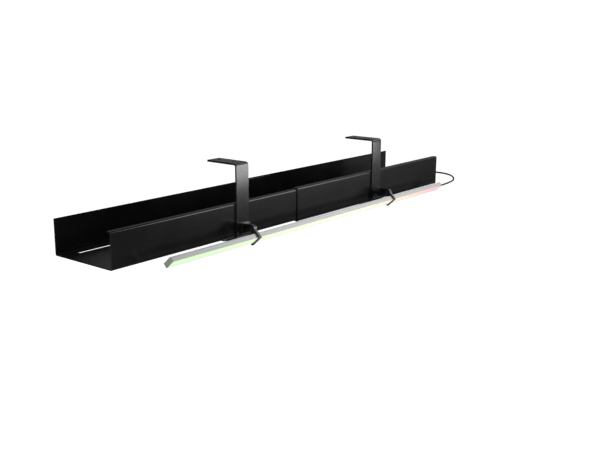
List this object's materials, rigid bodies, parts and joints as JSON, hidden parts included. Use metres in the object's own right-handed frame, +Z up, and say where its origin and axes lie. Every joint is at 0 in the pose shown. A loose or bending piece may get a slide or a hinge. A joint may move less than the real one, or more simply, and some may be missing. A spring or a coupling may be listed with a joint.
{
  "type": "under-desk cable tray",
  "caption": "Telescopic sheet-metal cable tray on flat desk hangers, with a tilting light bar clipped along its front.",
  "frame": {"origin": "centre of the four desk screw holes, on the flanges' top faces, which bear on the underside of the desk", "axes": "+X along the tray to its right end as seen from the user's side, -Y towards the user, +Z up"},
  "size_m": [0.8829, 0.1662, 0.121],
  "materials": {
    "tray_black": "fine satin black powder coat",
    "hanger_black": "fine satin black powder coat",
    "screw_black": "black oxide",
    "nut_steel": "zinc plated",
    "clip_plastic": "glossy moulded black",
    "lamp_aluminium": "satin anodised",
    "lamp_diffuser": "milky diffuser lit from inside",
    "board_white": "white solder mask",
    "chip_yellow": "satin",
    "cap_grey": "satin moulded grey",
    "cord_black": "satin soft jacket",
    "tie_black": "hook and loop",
    "plug_metal": "nickel plated"
  },
  "bodies": {
    "right_unit": {"tray_right": "tray_black", "hanger_right": "hanger_black", "hanger_screws_right": "screw_black", "hanger_nuts_right": "nut_steel", "slide_lock_screws": "screw_black", "slide_lock_washers": "nut_steel", "slide_lock_nuts": "nut_steel", "clip_base_right": "clip_plastic", "clip_base_screws_right": "screw_black", "pivot_screw_right": "screw_black", "pivot_nut_right": "nut_steel", "cord_lead": "cord_black", "cord_coil": "cord_black", "cord_tail": "cord_black", "cord_tie": "tie_black", "plug_body": "cord_black", "plug_shell": "plug_metal"},
    "left_unit": {"tray_left": "tray_black", "hanger_left": "hanger_black", "hanger_screws_left": "screw_black", "hanger_nuts_left": "nut_steel", "clip_base_left": "clip_plastic", "clip_base_screws_left": "screw_black", "pivot_screw_left": "screw_black", "pivot_nut_left": "nut_steel"},
    "light": {"clip_claw_right": "clip_plastic", "light_housing": "lamp_aluminium", "light_diffuser": "lamp_diffuser", "led_board": "board_white", "led_chips": "chip_yellow", "end_cap_left": "cap_grey", "end_cap_right": "cap_grey", "cord_gland": "cord_black"},
    "left_claw": {"clip_claw_left": "clip_plastic"}
  },
  "joints": [
    {"name": "tray_slide", "type": "slide", "parent": "right_unit", "child": "left_unit", "axis": [1, 0, 0], "range_m": [-0.03, 0.085]},
    {"name": "light_tilt", "type": "hinge", "parent": "right_unit", "child": "light", "pos_m": [0.1844, -0.058, -0.095], "axis": [1, 0, 0], "range_deg": [-40, 30], "deforming": ["cord_lead"]},
    {"name": "left_claw_tilt", "type": "hinge", "parent": "left_unit", "child": "left_claw", "pos_m": [-0.1863, -0.058, -0.095], "axis": [1, 0, 0], "range_deg": [-40, 30]}
  ],
  "couplings": [
    {"joint": "left_claw_tilt", "follows": "light_tilt", "ratio": 1}
  ]
}
